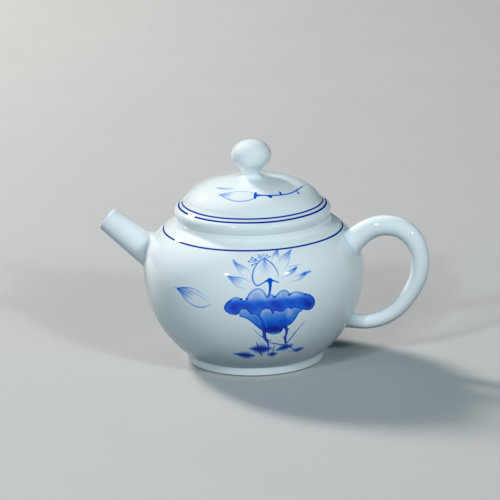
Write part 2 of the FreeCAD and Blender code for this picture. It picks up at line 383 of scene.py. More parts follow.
for tip, upper, lower, depth in [
    ((-14.6, 16.4), [(-12.4, 14.7), (-10, 13.7), (-8.2, 12.4), (-7.1, 10.9)],
     [(-13.7, 14.4), (-12.4, 12.5), (-11.2, 11), (-9.6, 9.9)], 0.5),
    ((-16.2, 9.8), [(-14, 9.5), (-11.4, 9.3), (-9.2, 8.6), (-7.3, 7.6)],
     [(-14.9, 8.3), (-13.3, 6.6), (-11.2, 5.4), (-9, 5)], 0.56),
    ((5.2, 20.1), [(3.4, 18.9), (2.3, 17.6), (1.9, 16.2)],
     [(5.1, 18.6), (4.9, 17), (4.6, 15.4)], 0.56),
    ((11.5, 19.6), [(9, 18.5), (6.8, 17.4), (5.4, 16), (4.6, 14.2)],
     [(10.3, 17.9), (9.3, 15.6), (8, 13.4), (6.2, 11.9)], 0.52),
    ((11.6, 12), [(10.2, 11.5), (8.8, 11), (7.8, 10.6), (6.6, 10.1)],
     [(10.4, 10.7), (8.8, 9.7), (6.6, 8.9), (4.4, 8.6)], 0.62),
    ((17.2, 9.5), [(15.2, 9.5), (13.4, 9.2), (11.6, 8.8), (9.6, 8.5)],
     [(15, 8.7), (12.6, 7.4), (9.8, 6.8), (6.4, 6.6)], 0.52),
]:
    petal(tip, upper, lower, depth)
lotus.strokes([
    ([(14.2, 13), (11.2, 12.7), (8, 12.6)], [0.3, 0.4, 0.35], [0.12, 0.3, 0.15]),
    ([(16, 9.3), (14.4, 9), (12.6, 8.4)], [0.3, 1, 0.4], [0.5, 0.8, 0.4]),
    ([(11.5, 11.9), (10.4, 11.4), (9.2, 10.9)], [0.4, 0.8, 0.3], [0.9, 0.75, 0.35]),
])


def downwards(stops):
    """A tone that depends on the height alone: pairs of height and tone, joined by straight ramps."""
    heights, tones = np.array(sorted(stops)).T
    return lambda across, up: np.interp(up, heights, tones)


def watery(tone):
    """The same tone with the slow swings in strength of a brush that was loaded again and again."""
    def swung(across, up):
        swing = 0.05 * np.sin(across / 2.1 + 0.6) + 0.04 * np.sin(across / 0.9 + up / 1.7)
        return tone(across, up) + swing
    return swung


def hanging_tone(across, up):
    """The middle lobe is dark low down, with a paler hem. The right wing beyond it is full cobalt,
    paler along the top and thinned to a light patch where the two run together."""
    lobe = np.interp(
        up, [-15.4, -14.5, -14, -12.4, -11, -9.5, -8, -6, -4.5, -3.2],
        [0.62, 0.66, 1.08, 1.08, 0.94, 0.82, 0.72, 0.54, 0.42, 0.35],
    )
    thinned = 0.42 * np.exp(-((across - 7.3) / 1.7) ** 2 - ((up + 6.3) / 2.2) ** 2)
    wing = np.interp(up, [-12, -6.5, -3.5], [0.9, 0.78, 0.5]) - thinned
    return lobe + (wing - lobe) * np.clip((across - 4.8) / 1.4, 0, 1)


# Underside of the folded leaf: its left wing, then the hanging middle lobe and the right wing,
# which run together in one patch
lotus.field(
    [
        (-11.9, -5), (-11.5, -6.3), (-10, -6.8), (-8, -8), (-6, -10), (-4, -12), (-2.9, -13), (-2.4, -11),
        (-3.2, -8), (-4.4, -5.5), (-7.2, -4.8), (-9, -3.2), (-10.2, -3), (-11.4, -3.6),
    ],
    downwards([(-13, 0.95), (-10, 0.82), (-7, 0.67), (-5, 0.53), (-3, 0.4)]),
)
lotus.stroke(
    [(-11.6, -6.2), (-10, -6.8), (-8, -8), (-6, -10), (-4, -12), (-2.7, -13.2)],
    [0.5, 0.45, 0.5, 0.6],
    [0.95, 0.85, 0.85, 0.95],
)
lotus.field(
    [
        (-4.4, -6), (-3.9, -4.8), (-3, -3.4), (-1.9, -3), (-0.6, -3.2), (0.6, -3.5), (4.8, -3.6),
        (6.4, -3.4), (8, -3.6), (9.6, -3.6), (11.5, -4.4), (12.6, -5.6), (11.5, -6.3), (10.8, -7.3),
        (9.9, -9), (8.2, -11), (6.2, -12.1), (5.4, -12.5), (4.8, -13.8), (3.5, -14.9), (1.8, -15.3),
        (0, -14.9), (-1.5, -13.8), (-2.5, -12), (-2.9, -10), (-3.5, -8),
    ],
    hanging_tone,
)
lotus.strokes([
    ([(-4.6, -6.2), (-3.5, -8), (-2.9, -10), (-2.4, -12.2)], [0.4, 0.5, 0.6, 0.8], [0.9, 0.9, 1, 1]),
    ([(5.7, -8.6), (5.6, -10.4), (5.2, -12.4)], [0.3, 0.5, 0.5], [0.8, 0.95, 1]),
])

# Leaf: pale lobes along its upper edge that deepen into a dark folded band
lotus.field(
    [
        (-15.2, 0.1), (-14.2, 1.2), (-12.6, 1.7), (-11.2, 1.1), (-10.3, 0.4), (-9.2, 0.4), (-8.2, 2.2),
        (-6.8, 4), (-4.6, 4.9), (-2.8, 4.2), (-1.8, 2.6), (-1.2, 1.2), (-0.4, 2), (0.5, 2.3), (1.5, 1.4),
        (2.8, 2.4), (4.3, 3.5), (5.8, 3.6), (6.9, 2.6), (7.4, 1.6), (8.8, 2.4), (11, 2.2), (13, 1.1),
        (15.6, 0.3), (17, -1), (17.8, -2.8), (17.6, -4.4), (16.9, -5.5), (15.4, -6), (13.5, -5.6),
        (11.5, -4.7), (9.5, -3.9), (8, -4.1), (6.5, -3.7), (5.6, -4.4), (4.8, -5), (2.8, -4.8), (1.3, -4.7),
        (0.9, -5.5), (0.3, -4.6), (-0.6, -3.5), (-1.9, -3.3), (-3.2, -4), (-4, -5.4), (-4.6, -6.4),
        (-5.4, -5.7), (-7.2, -5.6), (-8, -4.6), (-9, -3.5), (-10.2, -3.2), (-11.2, -3.6), (-11.8, -4.6),
        (-12.3, -5.6), (-14, -5.8), (-15.5, -5.5), (-16.8, -4.5), (-17.3, -3.2), (-16.6, -1.4),
    ],
    watery(downwards([
        (-6, 0.83), (-4.5, 0.9), (-3, 0.93), (-1.5, 0.89), (-0.4, 0.8), (0.4, 0.61), (1, 0.44), (1.9, 0.36),
        (4.5, 0.29),
    ])),
)
for lobe in [
    [(-9, 0.6), (-8.2, 2.2), (-6.8, 4), (-4.6, 4.9), (-2.8, 4.2), (-1.8, 2.6), (-1.2, 1.2)],
    [(-0.8, 1.5), (0.5, 2.3), (1.6, 1.3)],
    [(1.7, 1.2), (2.8, 2.4), (4.3, 3.5), (5.8, 3.6), (6.9, 2.6), (7.3, 1.7)],
    [(7.3, 1.7), (9, 2.4), (11, 2.2), (13.8, 0.9)],
]:
    lotus.stroke(lobe, [0.5, 0.4, 0.4, 0.45], [0.8, 0.5, 0.5, 0.75])
lotus.strokes([
    ([(13.8, 0.9), (15.6, 0.3), (17, -1), (17.8, -2.8), (17.6, -4.4)],
     [0.5, 0.45, 0.4], [0.85, 0.95, 0.95]),
    ([(-15, 0.2), (-16.6, -1.4), (-17.3, -3.2), (-16.6, -4.7)], [0.6, 0.45, 0.4], [0.95]),
])
for knot in [
    (-10.8, 0.8), (-8.9, 0.8), (1.6, 1.2), (7.3, 1.6), (13.8, 0.8), (8, -4), (0.9, -5.3), (-4.6, -6.2),
]:
    lotus.dab(knot, 0.9, 0.98)

# Legs, grasses and the dark pads they stand among
lotus.strokes([
    ([(-2.5, -12.4), (-2.3, -14.6), (-2.1, -16.6), (-1.2, -18.3), (-0.6, -19.8), (-0.5, -22), (-0.2, -25)],
     [1.7, 1.4, 1.5, 1.2, 0.8, 0.6, 0.5], [1, 0.95, 0.95, 0.9, 0.9]),
    ([(-1.2, -18.3), (0.5, -18)], [0.9, 0.3], [0.9]),
    ([(6.2, -12.4), (6.7, -14.2), (6.6, -16), (6.4, -17.5), (6.8, -19.2), (7, -20.6)],
     [1.5, 1.2, 0.9, 1.3, 0.9, 0.8], [1, 0.95, 0.95]),
    ([(6.4, -17.4), (5.4, -17)], [1, 0.3], [0.95]),
    ([(6.6, -13.5), (7.8, -13.2)], [1, 0.3], [0.95]),
    ([(-7, -11.6), (-4.8, -14.4), (-2.2, -17.2)], [0.3, 0.4, 0.5], [0.25, 0.5, 0.8]),
    ([(14.3, -10.3), (12.4, -12.7), (10.4, -15.6), (8.8, -18.3), (7.5, -20.5)],
     [0.3, 0.45, 0.6, 0.6], [0.3, 0.6, 0.7, 0.8]),
    ([(0.2, -19.4), (2.5, -20.2), (5, -21), (7.5, -21.6)], [0.5, 0.6, 0.5], [0.85]),
    ([(8, -21.4), (5.6, -22.9), (3.2, -24.3)], [0.6, 0.6, 0.4], [0.9]),
    ([(8, -22), (10.2, -23.6), (12.6, -25.3)], [0.5, 0.5, 0.4], [0.85]),
    ([(2.1, -21.2), (2, -23.2), (1.8, -25.6)], [0.4, 0.45, 0.5], [0.8]),
    ([(9, -26.4), (10.8, -25.2), (12.6, -24)], [0.35, 0.4, 0.3], [0.5, 0.65, 0.4]),
])
for pad, width, depth in [
    ([(-8.2, -22.4), (-5.4, -22.7), (-2.6, -22.9), (0.3, -22.8)], [1, 3, 4.4, 4, 1.6], 1.2),
    ([(-15.8, -25.8), (-12.8, -26.4), (-9.8, -26.8), (-7.2, -26.9)], [0.8, 2, 3.4, 3.2, 1.6], 1.2),
    ([(3.8, -24), (6.8, -22.9), (9.8, -22.4)], [1.4, 3.2, 1.8], 1.1),
    ([(0.4, -26.6), (3.2, -26.5)], [2, 3, 1.6], 1.15),
    ([(11.8, -25.8), (14.2, -25.7), (16.6, -25.4)], [1, 2.6, 1.3], 1.1),
]:
    lotus.streak(pad, width, depth * np.array([0.6, 1, 1, 0.7]))
lotus.strokes([
    ([(-5.5, -18.6), (-5.2, -20), (-4.8, -21.4)], [0.3, 0.5, 0.9], [0.7, 0.9]),
    ([(-4.2, -23.4), (-3.6, -25.4), (-3, -27.4)], [1.6, 0.9, 0.3], [0.95, 0.9]),
])

# Drifting petal, to the left of the lotus
lotus.strokes([
    ([(-37.4, 2.2), (-35.4, 3), (-33, 3.4), (-30.4, 3.4), (-28.2, 2.9), (-26, 1.7), (-23.4, 0.3)],
     [0.6, 0.6, 0.5, 0.5, 0.45, 0.4], [0.75, 0.6, 0.4, 0.3, 0.2, 0.1]),
    ([
        (-37.4, 1.9), (-35.6, 0.3), (-34, -1.3), (-32, -2.6), (-30, -3.5), (-27.8, -3.8), (-25.4, -3.4),
        (-22.6, -2),
    ], [0.5, 0.5, 0.5, 0.55, 0.6, 0.6, 0.5], [0.65, 0.45, 0.4, 0.4, 0.42, 0.38, 0.12]),
])
for vein, depth in [
    ([(-37, 2.2), (-34.2, 1.8), (-30.2, 0.7)], 0.75),
    ([(-37, 1.9), (-34.4, 0.9), (-30.8, -0.7)], 0.8),
    ([(-36.8, 1.8), (-34.8, 0.3), (-32.6, -1.2)], 0.6),
    ([(-36.6, 2.5), (-33.8, 2.8), (-29.8, 2.2)], 0.55),
    ([(-35, 2.4), (-31.5, 2.1), (-28.6, 1.5), (-25.8, 0.2), (-23.2, -1.2)], 0.3),
]:
    lotus.streak(vein, [0.6, 0.7, 0.6], depth * np.array([1, 0.85, 0.3]))
lotus.strokes([
    ([(-38, 2.3), (-37, 2.2), (-35.6, 2.5)], [0.4, 1.1, 0.5], [0.75, 0.85, 0.6]),
    ([(-39.8, 2.6), (-38.6, 2.4)], [0.3, 0.4], [0.15, 0.35]),
])

coat(pot_body, **lotus.layers())


def linear(code):
    """An sRGB hex colour as the linear red, green, blue and alpha that shaders take."""
    parts = np.array([int(code[i:i + 2], 16) for i in (1, 3, 5)]) / 255
    light = np.where(parts <= 0.04045, parts / 12.92, ((parts + 0.055) / 1.055) ** 2.4)
    return (*light, 1.0)


def add_node(material, kind, sockets=None, **settings):
    """Add a node to a material: settings are its own, and each socket gets a value or a link, from
    another socket or from the first live output of a node."""
    made = material.node_tree.nodes.new("ShaderNode" + kind)
    for name, value in settings.items():
        setattr(made, name, value)
    for name, value in (sockets or {}).items():
        if isinstance(value, bpy.types.Node):
            value = next(output for output in value.outputs if output.enabled)
        if isinstance(value, bpy.types.NodeSocket):
            material.node_tree.links.new(value, made.inputs[name])
        else:
            made.inputs[name].default_value = value
    return made


def new_material(name):
    """A material with no nodes yet."""
    material = bpy.data.materials.new(name)
    material.use_nodes = True
    material.node_tree.nodes.clear()
    return material


def glazed_porcelain():
    """White porcelain under a fired clear glaze with a bluish cast, over cobalt painting: a hard,
    mirror-smooth surface that is very slightly wavy, bluer where the glaze has run together. Thin
    cobalt shows pale and lilac, thick cobalt deep and saturated."""
    glaze = new_material("glazed_porcelain")
    where = add_node(glaze, "TexCoord").outputs["Object"]
    layer = {
        name: add_node(glaze, "Attribute", attribute_name=name).outputs["Fac"]
        for name in ("stroke", "ink", "wash", "pool")
    }
    # Cloudy body colour, in patches about 20 mm wide, and bluer where the glaze is thick
    clouds = add_node(glaze, "TexNoise", {"Vector": where, "Scale": 1 / (20 * mm), "Detail": 2.0})
    body = add_node(glaze, "Mix", {0: clouds, 6: linear("#E9EFF2"), 7: linear("#E2EBEF")}, data_type="RGBA")
    thick = add_node(glaze, "Mix", {0: layer["pool"], 6: body, 7: linear("#B4D2DC")}, data_type="RGBA")
    # Brush marks: a clear edge where the stroke value passes 1, and pigment that settled unevenly in
    # watery patches about 5 mm across and in a grain of about 1.5 mm
    inside_edge = add_node(
        glaze, "MapRange", {"Value": layer["stroke"], "From Min": 0.94, "From Max": 1.06},
        interpolation_type="SMOOTHSTEP",
    )
    inked = add_node(glaze, "Math", {0: inside_edge, 1: layer["ink"]}, operation="MULTIPLY")
    tone = add_node(glaze, "Math", {0: inked, 1: layer["wash"]}, operation="MAXIMUM")
    for width, least, most in [(5.0, 0.88, 1.06), (1.5, 0.88, 1.08)]:
        settled = add_node(glaze, "TexNoise", {"Vector": where, "Scale": 1 / (width * mm), "Detail": 3.0})
        uneven = add_node(glaze, "MapRange", {"Value": settled, "To Min": least, "To Max": most})
        tone = add_node(glaze, "Math", {0: tone, 1: uneven}, operation="MULTIPLY")
    cobalt = add_node(glaze, "ValToRGB", {"Fac": tone})
    shades = [
        (0.0, "#D8E7F2"), (0.2, "#B4C8EE"), (0.4, "#7BA2E6"), (0.6, "#3584E2"), (0.78, "#005CDA"),
        (0.9, "#0043C8"), (1.0, "#001E92"),
    ]
    ramp = cobalt.color_ramp
    while len(ramp.elements) < len(shades):
        ramp.elements.new(0.5)
    for stop, (place, code) in zip(ramp.elements, shades):
        stop.position = place
        stop.color = linear(code)
    cover = add_node(glaze, "MapRange", {"Value": tone, "From Max": 0.12})
    colour = add_node(glaze, "Mix", {0: cover, 6: thick, 7: cobalt}, data_type="RGBA")
    # Gloss, dulled a little in patches, and the slow waves of a dipped glaze about 9 mm apart
    gloss = add_node(glaze, "MapRange", {"Value": clouds, "To Min": 0.04, "To Max": 0.1})
    waves = add_node(glaze, "TexNoise", {"Vector": where, "Scale": 1 / (9 * mm), "Detail": 1.0})
    relief = add_node(glaze, "Bump", {"Height": waves, "Strength": 0.2, "Distance": 0.1 * mm})
    surface = add_node(
        glaze, "BsdfPrincipled", {"Base Color": colour, "Roughness": gloss, "Normal": relief, "IOR": 1.4},
    )
    add_node(glaze, "OutputMaterial", {"Surface": surface})
    return glaze


glaze = glazed_porcelain()
pot_body.data.materials.append(glaze)
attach(pot_body, "pot")
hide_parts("pot_body")

# Foot ring
# A low ring of the same clay, turned and luted under the shell, with glaze run into the corner
# above it. Its rest face is wiped bare before firing, so that it doesn't stick in the kiln.

foot_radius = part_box("foot_ring")[1][0] / mm
foot_heel = foot_radius - 0.35
foot_inner_top = 3.9
foot_inner_edge = (24.1, 0.5)
foot_landing = 5.0
foot_bare_height = 0.45
foot_pool_height = 4.2
seam_sink = 0.02
round_turns = np.radians(np.arange(0, 360, 2.5))


def bend(start, towards, before, end, steps=14):
    """A curve from start to end that sets off towards one point and arrives from another (cubic)."""
    share = np.linspace(0, 1, steps)[:, None]
    back = 1 - share
    start, towards, before, end = (np.asarray(point, float) for point in (start, towards, before, end))
    leaving, arriving = 3 * back ** 2 * share * towards, 3 * back * share ** 2 * before
    return back ** 3 * start + leaving + arriving + share ** 3 * end


foot_outline = np.vstack([
    [(foot_bore, foot_inner_top), foot_inner_edge],
    bend(foot_inner_edge, (24.2, 0.1), (24.4, 0.0), (24.8, 0.0), 6),
    bend((26.4, 0.0), (27.0, 0.0), (foot_heel, 0.3), (foot_heel, 0.8), 8),
    bend(
        (foot_radius - 0.2, 3.2), (foot_radius - 0.05, 3.9), (28.4, 4.2),
        (belly(foot_landing) - seam_sink, foot_landing), 12,
    ),
    [(26.0, 4.6), (foot_bore, foot_inner_top)],
])
foot_ring = turned("foot_ring_skin", foot_outline, round_turns)


def biscuit_porcelain():
    """Porcelain fired without glaze: a dry, slightly warm white with a fine sugary grain."""
    biscuit = new_material("biscuit_porcelain")
    where = add_node(biscuit, "TexCoord").outputs["Object"]
    grain = add_node(biscuit, "TexNoise", {"Vector": where, "Scale": 1 / (0.5 * mm), "Detail": 4.0})
    colour = add_node(
        biscuit, "Mix", {0: grain, 6: linear("#E4E0D6"), 7: linear("#D3CCBE")}, data_type="RGBA",
    )
    relief = add_node(biscuit, "Bump", {"Height": grain, "Strength": 0.5, "Distance": 0.05 * mm})
    surface = add_node(
        biscuit, "BsdfPrincipled", {"Base Color": colour, "Roughness": 0.6, "Normal": relief, "IOR": 1.5},
    )
    add_node(biscuit, "OutputMaterial", {"Surface": surface})
    return biscuit


def wiped_bare(piece, bare):
    """Give the piece glaze as its first material and bare porcelain on the faces that bare picks
    from their middle points in millimetres."""
    piece.data.materials.append(glaze)
    piece.data.materials.append(biscuit)
    middles = np.empty(3 * len(piece.data.polygons))
    piece.data.polygons.foreach_get("center", middles)
    chosen = bare(middles.reshape(-1, 3) / mm)
    piece.data.polygons.foreach_set("material_index", chosen.astype(np.int32))


def groove_pool(gap, width, depth):
    """Glaze run together in a groove: a bell over the distance to the groove's middle."""
    return depth * np.exp(-(gap / width) ** 2)


biscuit = biscuit_porcelain()
wiped_bare(foot_ring, lambda middle: middle[:, 2] < foot_bare_height)
coat(foot_ring, pool=groove_pool(points_of(foot_ring)[:, 2] - foot_pool_height, 0.7, 0.8))
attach(foot_ring, "pot")
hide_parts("foot_ring")

# Neck collar
# The ring round the mouth, swept up out of the shoulder to a flat land that carries the lid. The
# land and the bore are wiped bare, so that lid and pot can be fired together.

mouth_radius = 24.5
lid_gap = 0.15
collar_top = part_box("lid_dome")[0][2] / mm - lid_gap
collar_lip = 30.8
collar_round, collar_ease = 0.25, 0.08
collar_base = shell_top - seam_sink
land_edge = collar_lip - 1.5


def rounded(corner, before, after, radius, ease, steps):
    """A corner made round: it starts a radius before the corner, bends near it by the ease, and ends
    a radius after it. before and after are the directions of its two sides, away from the corner."""
    corner, before, after = (np.asarray(pair, float) for pair in (corner, before, after))
    start, end = corner + radius * before, corner + radius * after
    return bend(start, corner + ease * before, corner + ease * after, end, steps)


collar_outline = np.vstack([
    [(mouth_radius, collar_base), (belly(shell_top) - seam_sink, collar_base)],
    smooth_line([
        (belly(shell_top), shell_top), (34.05, 55.45), (33.05, 55.84), (32.15, 56.16), (31.5, 56.54),
        (31.1, 57.1), (30.9, 57.8), (collar_lip, collar_top - collar_round),
    ]),
    rounded((collar_lip, collar_top), (0, -1), (-1, 0), collar_round, collar_ease, 6),
    rounded((mouth_radius, collar_top), (1, 0), (0, -1), collar_round, collar_ease, 6),
    [(mouth_radius, collar_base)],
])
neck_collar = turned("neck_collar_skin", collar_outline, round_turns)
wiped_bare(neck_collar, lambda middle: reach(middle) < land_edge)
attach(neck_collar, "pot")
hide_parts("neck_collar")

# Spout
# A straight tapered tube, rolled, cut square and rounded at its lip, then luted over the window
# with slip. The glaze has run together in the corner where it meets the belly.

spout_radius = 5.05
spout_lip_outer = np.array([1.5, 0.95])
spout_lip_inner = np.array([0.5, 0.4])
spout_ring_at = 10.5
spout_bore_end = 21.0
spout_leave, spout_spread = (2.8, 2.8, 7.5), (1.8, 1.6, 3.3)
root_farthest, root_halvings = 40.0, 40
root_sink = 0.03
slope_step = 0.01
bore_depth = 0.5


def unit(vectors):
    """The same directions with length 1."""
    return vectors / np.linalg.norm(vectors, axis=-1, keepdims=True)


def luted(before, ring, leave, spread, steps=14):
    """The root of a tube stuck on the pot. Each point of the tube's last ring runs straight on from
    the ring before it, leaves that line a little short of the pot and lands on the pot a little
    further out: a curve of second degree whose middle point is where the straight line would have
    met the pot, which is found by halving. leave is how far short and spread is how far out, each at
    the ring's lowest point, its sides and its top."""
    lift = ring[:, 2] - ring[:, 2].mean()
    lift /= np.abs(lift).max()
    leave, spread = [
        side + (top - low) / 2 * lift + ((top + low) / 2 - side) * lift ** 2
        for low, side, top in (leave, spread)
    ]
    heading = unit(ring - before)
    near_end = np.zeros(len(ring))
    far_end = np.full(len(ring), root_farthest)
    for _ in range(root_halvings):
        middle = (near_end + far_end) / 2
        at = ring + middle[:, None] * heading
        clear = clearance(at) > 0
        near_end = np.where(clear, middle, near_end)
        far_end = np.where(clear, far_end, middle)
    met = ring + near_end[:, None] * heading
    left = met - np.minimum(leave, near_end)[:, None] * heading
    slope = (belly(met[:, 2] + slope_step) - belly(met[:, 2] - slope_step)) / (2 * slope_step)
    normal = unit(np.column_stack([met[:, :2] / reach(met)[:, None], -slope]))
    away = met - met.mean(axis=0)
    away = unit(away - (away * normal).sum(axis=1)[:, None] * normal)
    landed = met + spread[:, None] * away
    landed[:, :2] *= ((belly(landed[:, 2]) - root_sink) / reach(landed))[:, None]
    share = np.linspace(0, 1, steps)[:, None, None]
    return (1 - share) ** 2 * left + 2 * share * (1 - share) * met + share ** 2 * landed


quarter = np.linspace(0, math.pi / 2, 8)
inner_lip = np.column_stack([1 - np.sin(quarter), 1 - np.cos(quarter)]) * spout_lip_inner + (0, spout_bore)
outer_lip = np.column_stack([1 - np.cos(quarter), np.sin(quarter) - 1]) * spout_lip_outer + (0, spout_radius)
lip_rings = spout_rings(*np.vstack([inner_lip, outer_lip]).T)
tube_along = np.linspace(spout_lip_outer[0], spout_ring_at, 10)[1:]
tube_rings = spout_rings(tube_along, spout_radius + (tube_along - spout_lip_outer[0]) * spout_widening)
root_rings = luted(tube_rings[-2], tube_rings[-1], spout_leave, spout_spread)
bore_along = np.linspace(spout_bore_end, spout_lip_inner[0], 10)
bore_rings = spout_rings(bore_along, spout_bore + (bore_along - spout_lip_inner[0]) * spout_widening)
spout_grid = np.concatenate([bore_rings[:-1], lip_rings, tube_rings, root_rings, bore_rings[:1]])
spout = skin("spout_skin", spout_grid)


def corner_pool(piece, width, depth):
    """Glaze run together beside the pot's wall: full on the wall, gone at a distance out from it, and
    none in the bore, which lies deeper than the wall's face."""
    clear = clearance(points_of(piece))
    return depth * np.clip(1 - clear / width, 0, 1) * (clear > -bore_depth)


spout.data.materials.append(glaze)
coat(spout, pool=corner_pool(spout, 1.6, 0.7))
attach(spout, "pot")
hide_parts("spout")

# Strainer dome
# A thin pierced bulb of clay luted to the inside of the wall behind the spout, to hold back the
# leaves. It is glazed with the inside of the pot.

strainer_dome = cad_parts["strainer_dome"]
strainer_dome.data.materials.clear()
strainer_dome.data.materials.append(glaze)

# Handle
# A pulled loop of clay, round and thinning towards its lower end, bent into an ear while soft and
# luted to the wall at both roots, where slip and glaze make a smooth flare.

handle_free = 0.8
handle_top_leave, handle_top_spread = (1.8, 1.8, 1.8), (1.6, 2.2, 0.8)
handle_low_leave, handle_low_spread = (1.2, 1.2, 1.2), (0.9, 1.4, 0.6)
handle_line = smooth_line([
    (39.6, 49.0, 10.4), (43.6, 52.3, 8.95), (48.9, 55.45, 8.3), (55.0, 56.45, 8.1), (61.3, 54.6, 8.0),
    (65.6, 49.9, 7.75), (67.5, 42.4, 7.3), (66.3, 34.7, 6.9), (62.4, 27.3, 6.55), (57.1, 21.2, 6.25),
    (50.8, 17.5, 5.9), (44.4, 16.15, 5.65), (39.8, 16.4, 5.9),
])
handle_line = evenly(handle_line, 0.6)
handle_ways = unit(np.gradient(handle_line[:, :2], axis=0))
handle_round = once_round(80)
handle_thick = handle_line[:, 2, None] / 2
handle_rings = np.stack([
    handle_line[:, 0, None] - handle_thick * np.sin(handle_round) * handle_ways[:, 1, None],
    handle_thick * np.cos(handle_round),
    handle_line[:, 1, None] + handle_thick * np.sin(handle_round) * handle_ways[:, 0, None],
], axis=-1)
free_rings = handle_rings[clearance(handle_rings).min(axis=1) > handle_free]
top_root = luted(free_rings[1], free_rings[0], handle_top_leave, handle_top_spread)[::-1]
low_root = luted(free_rings[-2], free_rings[-1], handle_low_leave, handle_low_spread)
buried_top = np.broadcast_to(top_root[0].mean(axis=0), top_root[:1].shape)
buried_low = np.broadcast_to(low_root[-1].mean(axis=0), low_root[-1:].shape)
handle = skin("handle_skin", np.concatenate([buried_top, top_root, free_rings, low_root, buried_low]))
handle.data.materials.append(glaze)
coat(handle, pool=corner_pool(handle, 2.0, 0.6))
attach(handle, "pot")
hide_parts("handle")

# Lid dome
# The turned cover: a low dome, a groove and a rolled rim, hollow underneath, with a steam vent
# behind the knob. A cobalt line runs on each side of the groove, and a bud on a twig lies on the dome.

lid_low, lid_high = np.array(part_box("lid_dome")) / mm
lid_seat = lid_low[2]
dome_radius = 28.3
dome_base = 61.5
dome_rise = lid_high[2] - dome_base
dome_power = 2.15
dome_start = 0.24
dome_edge = 26.0
crown_dip = 1.0
crown_width = 9.0
rim_middle = np.array([27.85, 61.44])
rim_half = np.array([3.35, 2.68])
rim_crest = np.array([28.85, 64.14])
rim_edge = np.array([30.68, lid_seat])
rim_angle_from, rim_angle_to = -8, 25
groove_radius, groove_height = 28.1, 64.3
flange_inner = 21.4
lid_bare_edge = 26.4
hollow_radius = 21.8
hollow_base = 61.3
hollow_rise = 10.9
hollow_start = 0.12
vent_radius = 1.2
vent_flare = 0.5
vent_back = 11.5
sprig_from, sprig_to, sprig_step = -48, 104, 0.72
sprig_radius = 21.0
sprig_at = (21.34, 71.0)


def dome_point(share, radius, rise, base):
    """A point of a squared quarter oval: share runs 0 to 1 from its widest circle to its pole."""
    angle = np.clip(share, 0, 1) * math.pi / 2
    out = radius * np.abs(np.cos(angle)) ** (2 / dome_power)
    return np.column_stack([np.where(share >= 1, 0, out), base + rise * np.sin(angle) ** (2 / dome_power)])


def crown(radius):
    """How far the dome's top was pressed down round the knob: a bell about the axis."""
    return crown_dip * np.exp(-(radius / crown_width) ** 2)


def dome_height(radius):
    """Height of the dome's outside at a distance from the axis."""
    oval = (1 - (radius / dome_radius) ** dome_power) ** (1 / dome_power)
    return dome_base + dome_rise * oval - crown(radius)


def rim_point(angle):
    """A point of the rim's oval section at an angle above its outermost circle."""
    return rim_middle + rim_half * np.column_stack([np.cos(angle), np.sin(angle)])


dome_side = dome_point(np.linspace(dome_start, 1, 500), dome_radius, dome_rise, dome_base)
dome_side[:, 1] -= crown(dome_side[:, 0])
rim_low = rim_point(np.radians(np.linspace(rim_angle_from, rim_angle_to, 30)))
rim_foot = rim_low[0] - 0.6 * unit(rim_low[1] - rim_low[0])
rim_wall = bend(rim_edge, rim_edge + (0.14, 0.6), rim_foot, rim_low[0], 20)
rim_lead = rim_low[-1] + 0.7 * unit(rim_low[-1] - rim_low[-2])
rim_slope = bend(rim_low[-1], rim_lead, rim_crest + (0.88, -0.66), rim_crest, 30)
rim_side = np.vstack([rim_wall, rim_low[1:], rim_slope[1:]])
groove = bend(rim_side[-1], rim_side[-1] + (-0.5, 0.3), dome_side[0] + (0.12, -0.45), dome_side[0], 10)
lid_outside = evenly(np.vstack([rim_side, groove[1:], dome_side[1:]]), brush_step)
hollow_side = dome_point(np.linspace(1, hollow_start, 26), hollow_radius, hollow_rise, hollow_base)
lid_underside = [(flange_inner, lid_seat), (lid_bare_edge, lid_seat), rim_edge]
lid_outline = np.vstack([lid_outside, hollow_side, lid_underside])
lid_dome = turned("lid_dome_skin", lid_outline, turns_round(sprig_from, sprig_to, sprig_step))

vent_top = dome_height(vent_back)
vent_low = lid_seat + 3
vent_line = np.array([
    (0, vent_low), (vent_radius, vent_low), (vent_radius, vent_top - 0.7),
    (vent_radius + 0.1, vent_top - 0.3), (vent_radius + vent_flare, vent_top + 0.3),
    (vent_radius + vent_flare, vent_top + 2), (0, vent_top + 2),
])
pierced(lid_dome, turned("vent_pin", vent_line, once_round(40), vent_back))

lid_points = points_of(lid_dome)
lid_reach = reach(lid_points)
lid_turn = np.arctan2(lid_points[:, 0], -lid_points[:, 1])
lid_run = run_along(lid_outside)
lowest_painted = np.where(
    lid_reach < dome_edge, dome_height(np.minimum(lid_reach, dome_edge)) - paint_depth, lid_seat + 0.1,
)


def lid_climb(radius, height):
    """How far up the lid's outside a point lies: the outside is read by its direction as seen from
    a circle inside the rim, which grows all the way from the rim's underside to the top."""
    circle_radius, circle_height = 20, 62
    outside_way = np.arctan2(lid_outside[:, 1] - circle_height, lid_outside[:, 0] - circle_radius)
    return np.interp(np.arctan2(height - circle_height, radius - circle_radius), outside_way, lid_run)


sprig_foot = lid_climb(*sprig_at)
lid_up = lid_climb(lid_reach, lid_points[:, 2]) - sprig_foot
lid_up = np.where(lid_points[:, 2] > lowest_painted, lid_up, off_surface)
sprig = Painting(lid_turn, sprig_radius, lid_up)
for line_radius, line_height, line_width in [(29.4, 63.76, 0.76), (27.68, 64.8, 0.56)]:
    sprig.ring(lid_climb(line_radius, line_height) - sprig_foot, line_width, line_ink)

